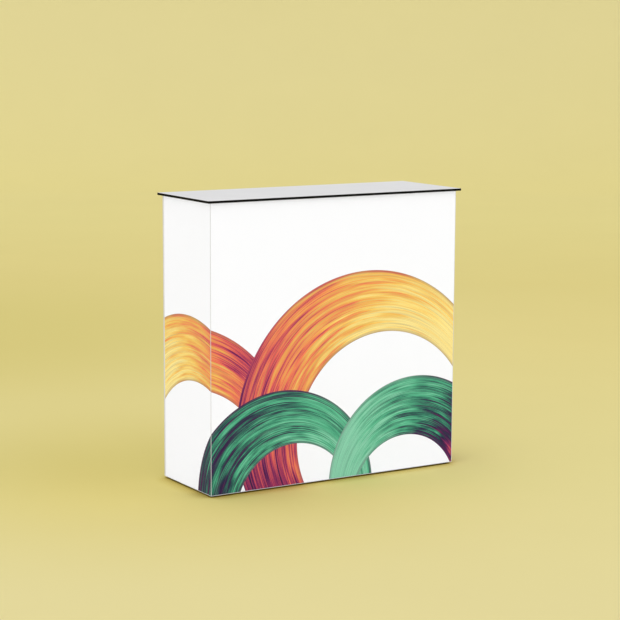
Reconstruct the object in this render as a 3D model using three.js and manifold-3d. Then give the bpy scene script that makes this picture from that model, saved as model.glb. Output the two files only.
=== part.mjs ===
// Exhibition counter: a mitred aluminium box frame with stretched textile graphics on three
// sides, a compact laminate worktop, an inside base and shelf, and a pair of lockable rear doors.
// Millimetres, +Z up. The front faces -Y and the origin is on the floor below the middle.
import * as THREE from "three";
import { mergeVertices } from "three/addons/utils/BufferGeometryUtils.js";
import Module from "manifold-3d";

// Driving sizes
const counterLength = 1020;
const counterDepth = 368;
const counterHeight = 1000;
const worktopOverhang = 14;
const footGap = 6;

// Clearances, and the overrun of every cutting tool past what it cuts
const seatGap = 0.3;
const runningGap = 0.1;
const cutOverrun = 5;

// Worktop of compact laminate
const worktopThickness = 8;
const worktopCornerRadius = 3;
const worktopArris = 0.5;

// Frame extrusion: a hollow square with a slanted groove in both outer faces
const barWidth = 30;
const barWall = 1.6;
const lipWidth = 1.2;
const grooveWidth = 3.2;
const grooveDepth = 11;
const faceRecess = 0.8;
const mitreGap = 0.2;
const beadWidth = 2.5;
const beadDepth = 7;

// Corner connector with three legs
const legWidth = 12;
const legReach = 44;
const legChamfer = 1.5;

// Textile graphic with a silicone edge sewn round it
const textileThickness = 0.5;

// Levelling foot
const footRadius = 14;
const footEdge = 1.5;
const footStemRadius = 4;
const footStemRise = 34;

// Worktop fixing bracket
const bracketWidth = 40;
const bracketLeg = 25;
const bracketWall = 3;
const bracketInset = 180;
const bracketHoleRadius = 2.2;
const bracketHoleSpacing = 24;
const bracketHoleInset = 15;

// Base panel, resting on the bottom rails
const baseThickness = 12;
const baseLap = 12;
const notchGap = 1;

// Shelf and its two bearers
const shelfThickness = 16;
const shelfLevel = 480;
const shelfFrontGap = 10;
const shelfRearGap = 10;
const bearerLeg = 25;
const bearerWall = 2;

// Doors
const doorThickness = 16;
const doorGap = 3.2;
const doorArris = 0.8;
const doorRest = 0.5;

// Butt hinge
const hingeInset = 100;
const hingeHeight = 50;
const hingeLeafWall = 1;
const hingeLeafDepth = 12;
const knuckleRadius = 3;
const knuckleRise = 0.5;
const middleKnuckle = 18;
const pinRadius = 1.5;
const pinHead = 1.5;
const hingeHoleRadius = 1.6;
const hingeHoleSpacing = 34;

// Cam lock in the right door
const lockInset = 25;
const lockDrop = 240;
const lockRadius = 8;
const lockPlugRadius = 5;
const lockFlangeRadius = 11;
const lockFlange = 2;
const lockNutRadius = 11.5;
const lockNut = 2;
const camWidth = 14;
const camWall = 2;
const camLap = 10;
const keySlotWidth = 1.6;
const keySlotHeight = 7;
const keySlotDepth = 3;

// Door knob
const knobDrop = 60;
const knobRadius = 12.5;
const knobNeckRadius = 7;
const knobFootRadius = 9;
const knobProjection = 15;
const knobCap = 6;
const knobEdge = 1.5;
const knobRim = 2;
const knobDish = 0.6;

// Stop bar under the rear top rail, which both doors close against
const stopDrop = 10;
const stopDepth = 6;

// Sliding bolt on the left door
const boltInset = 24;
const boltRadius = 3.5;
const boltTipGap = 1;
const boltTipChamfer = 1;
const boltCatchGap = 0.5;
const boltShow = 2;
const boltPlateWidth = 22;
const boltPlate = 2;
const boltLugWidth = 13;
const boltLugHeight = 8;
const boltLugWall = 0.8;
const fingerPinRadius = 2.5;
const fingerPinLength = 9;

// Facets of full circles
const roundSides = 24;
const padSides = 32;
const cornerSides = 8;
const screwHoleSides = 12;
const nutSides = 6;

// Planes of the box frame, each with the direction that leads into the counter
const planes = {
  left: { at: worktopOverhang - counterLength / 2, inward: new THREE.Vector3(1, 0, 0) },
  right: { at: counterLength / 2 - worktopOverhang, inward: new THREE.Vector3(-1, 0, 0) },
  front: { at: worktopOverhang - counterDepth / 2, inward: new THREE.Vector3(0, 1, 0) },
  rear: { at: counterDepth / 2 - worktopOverhang - beadDepth, inward: new THREE.Vector3(0, -1, 0) },
  bottom: { at: footGap, inward: new THREE.Vector3(0, 0, 1) },
  top: { at: counterHeight - worktopThickness - seatGap, inward: new THREE.Vector3(0, 0, -1) },
};
const sides = ["left", "right"];
const ends = ["front", "rear"];
const levels = ["bottom", "top"];
const frameLength = planes.right.at - planes.left.at;
const frameDepth = planes.rear.at - planes.front.at;
const frameHeight = planes.top.at - planes.bottom.at;
const frameMiddleY = (planes.rear.at + planes.front.at) / 2;
const frameMiddleZ = (planes.top.at + planes.bottom.at) / 2;

// Clear space between the bars
const innerRight = planes.right.at - barWidth;
const innerFront = planes.front.at + barWidth;
const innerRear = planes.rear.at - barWidth;
const innerBottom = planes.bottom.at + barWidth;
const innerTop = planes.top.at - barWidth;

// Centre line of the connector legs, which the levelling feet follow
const legOuter = barWidth - barWall - seatGap;
const legCentre = legOuter - legWidth / 2;

// Faces of the closed doors
const doorInner = planes.rear.at - doorThickness;
const doorStopFace = doorInner - doorRest;
const doorBottom = innerBottom + doorGap;
const doorTop = innerTop - doorGap;

const wasm = await Module();
wasm.setup();

const finishes = {
  aluminium: { color: 0xbfc2c5, roughness: 0.38, metalness: 0.9 },
  castAlloy: { color: 0x9ea1a4, roughness: 0.55, metalness: 0.8 },
  steel: { color: 0xc7c9cc, roughness: 0.3, metalness: 1 },
  textile: { color: 0xfdfdfd, roughness: 0.9, metalness: 0 },
  silicone: { color: 0xe9e9e5, roughness: 0.6, metalness: 0 },
  laminate: { color: 0xdddddd, roughness: 0.45, metalness: 0 },
  melamine: { color: 0xf1f1ef, roughness: 0.5, metalness: 0 },
  blackPlastic: { color: 0x1b1b1d, roughness: 0.6, metalness: 0 },
};

const materials = {};
for (const [name, finish] of Object.entries(finishes)) {
  materials[name] = new THREE.MeshStandardMaterial(finish);
}

const counter = new THREE.Group();

// Adds one named piece to a group
function addPiece(name, geometry, material, group = counter) {
  const mesh = new THREE.Mesh(geometry, material);
  mesh.name = name;
  group.add(mesh);
  return mesh;
}

// Turns a piece so that its X runs along the first direction and its Y along the second
function orient(object, xDirection, yDirection) {
  const zDirection = new THREE.Vector3().crossVectors(xDirection, yDirection);
  object.quaternion.setFromRotationMatrix(
    new THREE.Matrix4().makeBasis(xDirection, yDirection, zDirection),
  );
}

function solidOf(geometry) {
  const bare = geometry.clone();
  bare.deleteAttribute("normal");
  bare.deleteAttribute("uv");
  const merged = mergeVertices(bare);
  return new wasm.Manifold(
    new wasm.Mesh({
      numProp: 3,
      vertProperties: merged.attributes.position.array,
      triVerts: new Uint32Array(merged.index.array),
    }),
  );
}

function geometryOf(solid) {
  const { vertProperties, triVerts } = solid.getMesh();
  const indexed = new THREE.BufferGeometry();
  indexed.setAttribute("position", new THREE.BufferAttribute(vertProperties, 3));
  indexed.setIndex(new THREE.BufferAttribute(triVerts, 1));
  const faceted = indexed.toNonIndexed();
  faceted.computeVertexNormals();
  return faceted;
}

function cut(base, ...tools) {
  const subtract = (solid, tool) => solid.subtract(solidOf(tool));
  return geometryOf(tools.reduce(subtract, solidOf(base)));
}

function join(...pieces) {
  return geometryOf(pieces.map(solidOf).reduce((sum, solid) => sum.add(solid)));
}

// Straight extrusion along Z of an outline given as [x, y] points, centred on its length
function prism(outline, depth, holeOutline) {
  const shape = new THREE.Shape(outline.map(([x, y]) => new THREE.Vector2(x, y)));
  if (holeOutline) {
    shape.holes.push(new THREE.Path(holeOutline.map(([x, y]) => new THREE.Vector2(x, y))));
  }
  return new THREE.ExtrudeGeometry(shape, { depth, bevelEnabled: false }).translate(0, 0, -depth / 2);
}

// Block given by its two opposite corners
function block([x1, y1, z1], [x2, y2, z2]) {
  const middle = [(x1 + x2) / 2, (y1 + y2) / 2, (z1 + z2) / 2];
  return new THREE.BoxGeometry(x2 - x1, y2 - y1, z2 - z1).translate(...middle);
}

// Solid of revolution about Y from [radius, height] points, closed on the axis or on itself
function turned(profile, segments = roundSides) {
  const points = profile.map(([r, y]) => new THREE.Vector2(r, y));
  if (THREE.ShapeUtils.isClockWise(points)) {
    points.reverse();
  }
  const onAxis = points[0].x === 0 && points.at(-1).x === 0;
  return new THREE.LatheGeometry(onAxis ? points : [...points, points[0]], segments);
}

// Round bar along Z between two heights
function rod(radius, low, high, segments = roundSides) {
  return new THREE.CylinderGeometry(radius, radius, high - low, segments)
    .rotateX(Math.PI / 2)
    .translate(0, 0, (low + high) / 2);
}

// The groove in one outer face, from the lip to the recessed face
function groovePoints() {
  const run = grooveDepth / Math.SQRT2;
  const step = grooveWidth / Math.SQRT2;
  return [
    [lipWidth, 0],
    [lipWidth + run, run],
    [lipWidth + run + step, run - step],
    [lipWidth + 2 * step + faceRecess, faceRecess],
  ];
}

const mirrored = (points) => points.map(([u, v]) => [v, u]).reverse();

// Section of the bars, in distances inward from the outer edge of the frame
function doubleGrooveSection() {
  const groove = groovePoints();
  return [
    [0, 0],
    ...groove,
    [barWidth, faceRecess],
    [barWidth, barWidth],
    [faceRecess, barWidth],
    ...mirrored(groove),
  ];
}

// Section of the rear bars: grooved on the outer side, plain with a raised bead at the rear
function rearSection() {
  return [
    [0, -beadDepth],
    [beadWidth, -beadDepth],
    [beadWidth, 0],
    [barWidth, 0],
    [barWidth, barWidth],
    [faceRecess, barWidth],
    ...mirrored(groovePoints()),
  ];
}

// Hollow of the bars, one wall away from the faces and the grooves
function hollowSection() {
  const slantWall = barWall * Math.SQRT2;
  const face = faceRecess + barWall;
  const grooveLine = lipWidth + grooveWidth * Math.SQRT2 + slantWall;
  const webLine = lipWidth + grooveDepth * Math.SQRT2 + slantWall;
  const half = [
    [(webLine + grooveLine) / 2, (webLine - grooveLine) / 2],
    [face + grooveLine, face],
    [barWidth - barWall, face],
  ];
  return [...half, [barWidth - barWall, barWidth - barWall], ...mirrored(half)];
}

// Wedges that cut both ends of a bar for corners where three bars meet
function mitreTools(length) {
  const x = new THREE.Vector3(1, 0, 0);
  const y = new THREE.Vector3(0, 1, 0);
  const z = new THREE.Vector3(0, 0, 1);
  const acrossFirstFace = new THREE.Matrix4().makeBasis(x, z, y.clone().negate());
  const acrossSecondFace = new THREE.Matrix4().makeBasis(y, z, x);
  const reach = barWidth + cutOverrun;
  const tip = length / 2 - mitreGap;
  const tools = [];
  for (const end of [-1, 1]) {
    const wedge = prism(
      [
        [-cutOverrun, end * (tip + cutOverrun)],
        [reach, end * (tip - reach)],
        [reach, end * (tip + cutOverrun)],
      ],
      2 * (reach + beadDepth),
    );
    tools.push(wedge.clone().applyMatrix4(acrossFirstFace));
    tools.push(wedge.clone().applyMatrix4(acrossSecondFace));
  }
  return tools;
}

// Holes for the stems of the feet, near both ends of a bottom rail
function stemHoles(length) {
  const low = -cutOverrun;
  const high = faceRecess + barWall + cutOverrun;
  return [-1, 1].map((end) =>
    rod(footStemRadius + seatGap, low, high)
      .rotateY(Math.PI / 2)
      .translate(0, legCentre, end * (length / 2 - legCentre)),
  );
}

function frameBar(section, length, holes = []) {
  return cut(prism(section, length, hollowSection()), ...mitreTools(length), ...holes);
}

// Twelve bars: four uprights, four rails along the length and four along the depth
function addFrame() {
  const sectionAt = (end) => (end === "rear" ? rearSection() : doubleGrooveSection());
  const holesAt = (level, length) => (level === "bottom" ? stemHoles(length) : []);

  for (const end of ends) {
    for (const side of sides) {
      const geometry = frameBar(sectionAt(end), frameHeight);
      const upright = addPiece(`upright_${end}_${side}`, geometry, materials.aluminium);
      upright.position.set(planes[side].at, planes[end].at, frameMiddleZ);
      orient(upright, planes[side].inward, planes[end].inward);
    }
    for (const level of levels) {
      const geometry = frameBar(sectionAt(end), frameLength, holesAt(level, frameLength));
      const rail = addPiece(`rail_${end}_${level}`, geometry, materials.aluminium);
      rail.position.set(0, planes[end].at, planes[level].at);
      orient(rail, planes[level].inward, planes[end].inward);
    }
  }
  for (const side of sides) {
    for (const level of levels) {
      const holes = holesAt(level, frameDepth);
      const geometry = frameBar(doubleGrooveSection(), frameDepth, holes);
      const rail = addPiece(`rail_${side}_${level}`, geometry, materials.aluminium);
      rail.position.set(planes[side].at, frameMiddleY, planes[level].at);
      orient(rail, planes[level].inward, planes[side].inward);
    }
  }
}

// One leg of a connector, with chamfered ends, along Z from the corner
function connectorLeg() {
  const square = new THREE.Shape([
    new THREE.Vector2(0, 0),
    new THREE.Vector2(legWidth, 0),
    new THREE.Vector2(legWidth, legWidth),
    new THREE.Vector2(0, legWidth),
  ]);
  return new THREE.ExtrudeGeometry(square, {
    depth: legReach - 2 * legChamfer,
    bevelThickness: legChamfer,
    bevelSize: legChamfer,
    bevelOffset: -legChamfer,
    bevelSegments: 1,
  }).translate(0, 0, legChamfer);
}

// Three legs that fill the inner corner of the hollows, with the foot's thread down one of them
function connectorGeometry() {
  const x = new THREE.Vector3(1, 0, 0);
  const y = new THREE.Vector3(0, 1, 0);
  const z = new THREE.Vector3(0, 0, 1);
  const up = connectorLeg();
  const alongX = connectorLeg().applyMatrix4(new THREE.Matrix4().makeBasis(y, z, x));
  const alongY = connectorLeg().applyMatrix4(new THREE.Matrix4().makeBasis(z, x, y));
  const start = legOuter - legWidth;
  const legs = join(up, alongX, alongY).translate(start, start, start);
  const thread = rod(footStemRadius + runningGap, start - cutOverrun, start + legReach + cutOverrun);
  return cut(legs, thread.translate(legCentre, legCentre, 0));
}

function addConnectors() {
  const geometry = connectorGeometry();
  for (const end of ends) {
    for (const side of sides) {
      for (const level of levels) {
        const piece = addPiece(`connector_${end}_${side}_${level}`, geometry, materials.castAlloy);
        piece.position.set(planes[side].at, planes[end].at, planes[level].at);
        const across = planes[side].inward;
        const inward = planes[end].inward;
        const turnsUp = new THREE.Vector3().crossVectors(across, inward).dot(planes[level].inward) > 0;
        orient(piece, turnsUp ? across : inward, turnsUp ? inward : across);
      }
    }
  }
}

// Closed ring round a rectangle, mitred at its corners. The section gives distances inward
// from the rectangle's edge and down from its face, and the ring lies face up round the origin.
function ring(length, width, section) {
  const positions = [];
  const corners = [[-1, -1], [1, -1], [1, 1], [-1, 1]];
  for (const [cornerX, cornerY] of corners) {
    for (const [inset, depth] of section) {
      positions.push(cornerX * (length / 2 - inset), cornerY * (width / 2 - inset), -depth);
    }
  }
  const index = [];
  const count = section.length;
  for (let corner = 0; corner < corners.length; corner += 1) {
    for (let i = 0; i < count; i += 1) {
      const next = (i + 1) % count;
      const other = ((corner + 1) % corners.length) * count;
      const here = corner * count;
      index.push(here + i, other + next, other + i);
      index.push(here + i, here + next, other + next);
    }
  }
  const geometry = new THREE.BufferGeometry();
  geometry.setAttribute("position", new THREE.Float32BufferAttribute(positions, 3));
  geometry.setIndex(index);
  return geometry;
}

// Section of the silicone edge inside its groove, flat under the textile
function siliconeSection() {
  const slantGap = seatGap * Math.SQRT2;
  const top = faceRecess;
  const nearLine = lipWidth + slantGap;
  const farLine = lipWidth + grooveWidth * Math.SQRT2 - slantGap;
  const endLine = lipWidth + grooveDepth * Math.SQRT2 - slantGap;
  return [
    [nearLine + top, top],
    [(endLine + nearLine) / 2, (endLine - nearLine) / 2],
    [(endLine + farLine) / 2, (endLine - farLine) / 2],
    [farLine + top, top],
  ];
}

// Stretched textile and its silicone edge on one face of the frame
function addGraphic(side, length, along) {
  const face = new THREE.Group();
  face.position.set(0, frameMiddleY, frameMiddleZ);
  face.position[side === "front" ? "y" : "x"] = planes[side].at;
  orient(face, along, new THREE.Vector3(0, 0, 1));
  counter.add(face);

  const edge = lipWidth + faceRecess + seatGap;
  const textile = new THREE.BoxGeometry(length - 2 * edge, frameHeight - 2 * edge, textileThickness);
  textile.translate(0, 0, textileThickness / 2 + seatGap - faceRecess);
  addPiece(`graphic_${side}`, textile, materials.textile, face);
  const silicone = ring(length, frameHeight, siliconeSection());
  addPiece(`silicone_edge_${side}`, silicone, materials.silicone, face);
}

function addGraphics() {
  addGraphic("front", frameLength, new THREE.Vector3(1, 0, 0));
  addGraphic("left", frameDepth, new THREE.Vector3(0, -1, 0));
  addGraphic("right", frameDepth, new THREE.Vector3(0, 1, 0));
}

function roundedRectangle(length, width, radius) {
  const x = length / 2 - radius;
  const y = width / 2 - radius;
  const shape = new THREE.Shape();
  shape.absarc(x, y, radius, 0, Math.PI / 2);
  shape.absarc(-x, y, radius, Math.PI / 2, Math.PI);
  shape.absarc(-x, -y, radius, Math.PI, 1.5 * Math.PI);
  shape.absarc(x, -y, radius, 1.5 * Math.PI, 2 * Math.PI);
  shape.closePath();
  return shape;
}

// Board of a given outline along Z, with both faces' edges broken
function board(shape, thickness, arris) {
  return new THREE.ExtrudeGeometry(shape, {
    depth: thickness - 2 * arris,
    bevelThickness: arris,
    bevelSize: arris,
    bevelOffset: -arris,
    bevelSegments: 1,
    curveSegments: cornerSides,
  }).translate(0, 0, arris);
}

function addWorktop() {
  const shape = roundedRectangle(counterLength, counterDepth, worktopCornerRadius);
  const worktop = addPiece("worktop", board(shape, worktopThickness, worktopArris), materials.laminate);
  worktop.position.z = counterHeight - worktopThickness;
}

// Angle of two equal legs in the Y-Z plane, its outer corner at the origin, centred along X
function angle(leg, wall, length) {
  const outline = [[0, 0], [leg, 0], [leg, wall], [wall, wall], [wall, leg], [0, leg]];
  return prism(outline, length).rotateX(Math.PI / 2).rotateZ(Math.PI / 2);
}

// Screw holes of a bracket, two through each leg
function bracketHoles() {
  const bore = rod(bracketHoleRadius, -cutOverrun, bracketWall + cutOverrun, screwHoleSides);
  return [-bracketHoleSpacing / 2, bracketHoleSpacing / 2].flatMap((x) => [
    bore.clone().translate(x, bracketHoleInset, 0),
    bore.clone().rotateX(-Math.PI / 2).translate(x, 0, bracketHoleInset),
  ]);
}

// Four brackets between the inner faces of the long top rails and the worktop
function addWorktopBrackets() {
  for (const end of ends) {
    for (const side of sides) {
      const geometry = cut(angle(bracketLeg, bracketWall, bracketWidth), ...bracketHoles());
      const bracket = addPiece(`worktop_bracket_${end}_${side}`, geometry, materials.steel);
      const inward = planes[end].inward;
      const face = planes[end].at + inward.y * (barWidth + seatGap);
      const outward = planes[side].inward.clone().negate();
      bracket.position.set(outward.x * (innerRight - bracketInset), face, planes.top.at);
      const across = new THREE.Vector3().crossVectors(inward, planes.top.inward);
      orient(bracket, across, inward);
    }
  }
}

// Base panel, notched round the four uprights
function addBasePanel() {
  const notchX = innerRight - notchGap;
  const edgeX = innerRight + baseLap;
  const notchFront = innerFront + notchGap;
  const notchRear = innerRear - notchGap;
  const front = innerFront - baseLap;
  const rightHalf = [
    [notchX, front],
    [notchX, notchFront],
    [edgeX, notchFront],
    [edgeX, notchRear],
    [notchX, notchRear],
    [notchX, doorStopFace],
  ];
  const leftHalf = rightHalf.map(([x, y]) => [-x, y]).reverse();
  const panel = prism([...rightHalf, ...leftHalf], baseThickness);
  const piece = addPiece("base_panel", panel, materials.melamine);
  piece.position.z = innerBottom + seatGap + baseThickness / 2;
}

// Shelf on two angle bearers, which are fixed to the inner faces of the uprights
function addShelf() {
  const front = planes.front.at + shelfFrontGap;
  const bearerLength = doorStopFace - front;
  for (const side of sides) {
    const bearer = addPiece(
      `shelf_bearer_${side}`,
      angle(bearerLeg, bearerWall, bearerLength),
      materials.aluminium,
    );
    const inward = planes[side].inward;
    const face = planes[side].at + inward.x * (barWidth + seatGap);
    bearer.position.set(face, front + bearerLength / 2, shelfLevel - bearerWall - seatGap);
    orient(bearer, new THREE.Vector3().crossVectors(inward, planes.bottom.inward), inward);
  }
  const shelfEnd = innerRight - bearerWall - 2 * seatGap;
  const shelf = block(
    [-shelfEnd, front, shelfLevel],
    [shelfEnd, doorInner - shelfRearGap, shelfLevel + shelfThickness],
  );
  addPiece("shelf", shelf, materials.melamine);
}

// Axis of a door's hinges, in the middle of the gap beside the upright
const hingeX = innerRight - doorGap / 2;
const hingeY = planes.rear.at + knuckleRadius + knuckleRise;
const hingeLevels = { lower: doorBottom + hingeInset, upper: doorTop - hingeInset };

// Half of a butt hinge, its plate at the given side of the axis and its knuckles at the given spans
function hingeLeaf(sideSign, spans) {
  const plateGap = doorGap / 2 - seatGap - hingeLeafWall;
  const near = sideSign * plateGap;
  const far = sideSign * (plateGap + hingeLeafWall);
  const low = Math.min(near, far);
  const high = Math.max(near, far);
  const clear = knuckleRadius + seatGap;
  const reach = knuckleRadius + knuckleRise + hingeLeafDepth;
  const plate = block([low, -reach, -hingeHeight / 2], [high, -clear, hingeHeight / 2]);
  const knuckles = spans.flatMap(([bottom, top]) => [
    rod(knuckleRadius, bottom, top),
    block([low, -clear - seatGap, bottom], [high, 0, top]),
  ]);
  const bore = rod(pinRadius + runningGap, -hingeHeight, hingeHeight);
  const screwHoles = [-hingeHoleSpacing / 2, hingeHoleSpacing / 2].map((z) =>
    rod(hingeHoleRadius, -cutOverrun, cutOverrun, screwHoleSides)
      .rotateY(Math.PI / 2)
      .translate(0, -(clear + reach) / 2, z),
  );
  return cut(join(plate, ...knuckles), bore, ...screwHoles);
}

function addHinge(side, level) {
  const hinge = new THREE.Group();
  const sign = -planes[side].inward.x;
  hinge.position.set(sign * hingeX, hingeY, hingeLevels[level]);
  counter.add(hinge);

  const middle = middleKnuckle / 2;
  const outer = middle + seatGap;
  const frameSpans = [[-hingeHeight / 2, -outer], [outer, hingeHeight / 2]];
  const name = `hinge_${side}_${level}`;
  addPiece(`${name}_frame_leaf`, hingeLeaf(sign, frameSpans), materials.steel, hinge);
  addPiece(`${name}_door_leaf`, hingeLeaf(-sign, [[-middle, middle]]), materials.steel, hinge);
  const headBottom = hingeHeight / 2 + seatGap;
  const pin = join(
    rod(pinRadius, -hingeHeight / 2 - pinHead, headBottom + pinHead / 2),
    rod(knuckleRadius, headBottom, headBottom + pinHead),
  );
  addPiece(`${name}_pin`, pin, materials.steel, hinge);
}

// Place of the cam lock in the right door
const lockX = doorGap / 2 + lockInset;
const lockZ = doorTop - lockDrop;

function addDoor(side) {
  const near = doorGap / 2;
  const far = hingeX - doorGap / 2;
  const shape = new THREE.Shape([
    new THREE.Vector2(near, doorBottom),
    new THREE.Vector2(far, doorBottom),
    new THREE.Vector2(far, doorTop),
    new THREE.Vector2(near, doorTop),
  ]);
  if (side === "right") {
    const hole = new THREE.Path();
    hole.absarc(lockX, lockZ, lockRadius + seatGap, 0, 2 * Math.PI, true);
    shape.holes.push(hole);
  }
  const geometry = board(shape, doorThickness, doorArris).rotateX(Math.PI / 2);
  if (side === "left") {
    geometry.translate(-near - far, 0, 0);
  }
  const door = addPiece(`door_${side}`, geometry, materials.melamine);
  door.position.y = planes.rear.at;
}

// Depths of the lock, measured outward from the door's rear face
const lockFront = seatGap + lockFlange;
const lockBack = -doorThickness - seatGap - lockNut;

function addLock() {
  const lock = new THREE.Group();
  lock.position.set(lockX, planes.rear.at, lockZ);
  counter.add(lock);

  const tube = turned([
    [0, lockFront],
    [lockFlangeRadius - lockFlange / 2, lockFront],
    [lockFlangeRadius, seatGap + lockFlange / 2],
    [lockFlangeRadius, seatGap],
    [lockRadius, seatGap],
    [lockRadius, lockBack],
    [0, lockBack],
  ]);
  const nut = rod(lockNutRadius, lockBack, lockBack + lockNut, nutSides).rotateX(-Math.PI / 2);
  const bore = rod(lockPlugRadius + runningGap, lockBack - cutOverrun, lockFront + cutOverrun);
  const barrel = cut(join(tube, nut), bore.rotateX(-Math.PI / 2));
  addPiece("lock_barrel", barrel, materials.steel, lock);

  // The plug turns in the barrel and carries the cam, which hangs down while unlocked
  const camFace = lockBack - seatGap;
  const camReach = lockInset + doorGap + camLap;
  const armLength = camReach - camWidth / 2;
  const arm = new THREE.Shape();
  arm.absarc(0, 0, camWidth / 2, 0, Math.PI);
  arm.absarc(0, -armLength, camWidth / 2, Math.PI, 2 * Math.PI);
  arm.closePath();
  const cam = new THREE.ExtrudeGeometry(arm, {
    depth: camWall,
    bevelEnabled: false,
    curveSegments: cornerSides,
  });
  cam.rotateX(Math.PI / 2).translate(0, camFace, 0);
  const plug = rod(lockPlugRadius, camFace - camWall - seatGap, lockFront).rotateX(-Math.PI / 2);
  const slot = block(
    [-keySlotWidth / 2, lockFront - keySlotDepth, -keySlotHeight / 2],
    [keySlotWidth / 2, lockFront + cutOverrun, keySlotHeight / 2],
  );
  addPiece("lock_cam", cut(join(plug, cam), slot), materials.steel, lock);
}

// Turned knob below the lock
function addKnob() {
  const end = seatGap + knobProjection;
  const knob = addPiece(
    "door_knob",
    turned([
      [0, seatGap],
      [knobFootRadius, seatGap],
      [knobFootRadius, seatGap + knobEdge],
      [knobNeckRadius, seatGap + 2 * knobEdge],
      [knobNeckRadius, end - knobCap],
      [knobRadius - knobEdge, end - knobCap],
      [knobRadius, end - knobCap + knobEdge],
      [knobRadius, end - knobEdge],
      [knobRadius - knobEdge, end],
      [knobRadius - knobEdge - knobRim, end],
      [knobRadius - knobEdge - knobRim - knobDish, end - knobDish],
      [0, end - knobDish],
    ]),
    materials.aluminium,
  );
  knob.position.set(lockX, planes.rear.at, lockZ - knobDrop);
}

// Flat bar on edge under the rear top rail, which stops the doors and catches the bolt
const stopBack = doorStopFace - stopDepth;

function addStopBar() {
  const top = innerTop - seatGap;
  const end = innerRight - seatGap;
  const bar = block([-end, stopBack, top - stopDrop], [end, doorStopFace, top]);
  addPiece("door_stop_bar", bar, materials.aluminium);
}

// Bolt that slides up behind the stop bar, in a guide on the left door's inner face
const boltTravel = stopDrop - 2 * boltTipGap;

function addBolt() {
  const bolt = new THREE.Group();
  const tip = innerTop - seatGap - stopDrop - boltTipGap;
  const plateFace = doorInner - seatGap;
  bolt.position.set(-doorGap / 2 - boltInset, plateFace, tip);
  counter.add(bolt);

  const axisY = stopBack - boltCatchGap - boltRadius - plateFace;
  const lugSpace = 2 * fingerPinRadius + boltTravel + 2 * seatGap;
  const guideTop = -boltShow;
  const guideBottom = guideTop - 2 * boltLugHeight - lugSpace;
  const lugDepth = axisY - boltRadius - boltLugWall;
  const lug = (top) =>
    block([-boltLugWidth / 2, lugDepth, top - boltLugHeight], [boltLugWidth / 2, -boltPlate / 2, top]);
  const plate = block([-boltPlateWidth / 2, -boltPlate, guideBottom], [boltPlateWidth / 2, 0, guideTop]);
  const bore = rod(boltRadius + runningGap, guideBottom - cutOverrun, guideTop + cutOverrun);
  const guide = cut(
    join(plate, lug(guideTop), lug(guideBottom + boltLugHeight)),
    bore.translate(0, axisY, 0),
  );
  addPiece("bolt_guide", guide, materials.steel, bolt);

  const shaft = turned([
    [0, guideBottom - boltShow],
    [boltRadius, guideBottom - boltShow],
    [boltRadius, -boltTipChamfer],
    [boltRadius - boltTipChamfer, 0],
    [0, 0],
  ]).rotateX(Math.PI / 2);
  const finger = rod(fingerPinRadius, 0, boltRadius + fingerPinLength).rotateX(Math.PI / 2);
  finger.translate(0, 0, guideBottom + boltLugHeight + seatGap + fingerPinRadius);
  const piece = addPiece("bolt", join(shaft, finger), materials.steel, bolt);
  piece.position.y = axisY;
}

// Levelling feet below the corners, their stems in the connectors' threads
function addFeet() {
  const padTop = footGap + faceRecess - seatGap;
  const stemTop = planes.bottom.at + footStemRise;
  const profile = [
    [0, 0],
    [footRadius - footEdge, 0],
    [footRadius, footEdge],
    [footRadius, padTop - footEdge],
    [footRadius - footEdge, padTop],
    [footStemRadius, padTop],
    [footStemRadius, stemTop],
    [0, stemTop],
  ];
  const geometry = turned(profile, padSides).rotateX(Math.PI / 2);
  for (const end of ends) {
    for (const side of sides) {
      const foot = addPiece(`foot_${end}_${side}`, geometry, materials.blackPlastic);
      foot.position.set(
        planes[side].at + planes[side].inward.x * legCentre,
        planes[end].at + planes[end].inward.y * legCentre,
        0,
      );
    }
  }
}

addFrame();
addConnectors();
addGraphics();
addWorktop();
addWorktopBrackets();
addBasePanel();
addShelf();
for (const side of sides) {
  addDoor(side);
  for (const level of Object.keys(hingeLevels)) {
    addHinge(side, level);
  }
}
addLock();
addKnob();
addStopBar();
addBolt();
addFeet();

export default counter;
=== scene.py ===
# Exhibition counter: printed textile stretched over three sides of a mitred aluminium frame,
# with a black-cored laminate worktop and a pair of lockable white doors at the rear.
# Metres, +Z up, the front facing -Y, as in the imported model.
import math

import bmesh
import bpy
from mathutils import Matrix, Vector


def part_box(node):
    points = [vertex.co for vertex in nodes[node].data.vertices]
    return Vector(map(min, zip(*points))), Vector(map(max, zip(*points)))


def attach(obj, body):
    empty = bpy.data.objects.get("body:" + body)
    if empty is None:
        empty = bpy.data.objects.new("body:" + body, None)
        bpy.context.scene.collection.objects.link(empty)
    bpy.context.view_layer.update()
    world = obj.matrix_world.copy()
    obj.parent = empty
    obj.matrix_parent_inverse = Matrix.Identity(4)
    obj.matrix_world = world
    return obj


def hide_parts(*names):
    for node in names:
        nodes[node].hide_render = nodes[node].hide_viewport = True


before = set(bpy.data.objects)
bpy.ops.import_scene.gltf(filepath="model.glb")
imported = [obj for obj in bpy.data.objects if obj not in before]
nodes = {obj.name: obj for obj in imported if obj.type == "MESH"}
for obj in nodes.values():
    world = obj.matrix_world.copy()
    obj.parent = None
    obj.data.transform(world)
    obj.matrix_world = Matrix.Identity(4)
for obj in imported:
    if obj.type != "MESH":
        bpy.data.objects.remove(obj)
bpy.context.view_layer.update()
bpy.ops.object.select_all(action="DESELECT")


# Camera. A long lens at eye height, off to the front left. Its place, aim and focal length were
# fitted to the straight edges of the photo, which is 620 pixels wide and high.
camera_place = Vector((-3.4156, -5.5300, 1.5710))
yaw, pitch, roll = (math.radians(angle) for angle in (31.6626, 8.685, 0.2708))
focal_pixels, photo_pixels, sensor_mm = 1867.1, 620, 36

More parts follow.
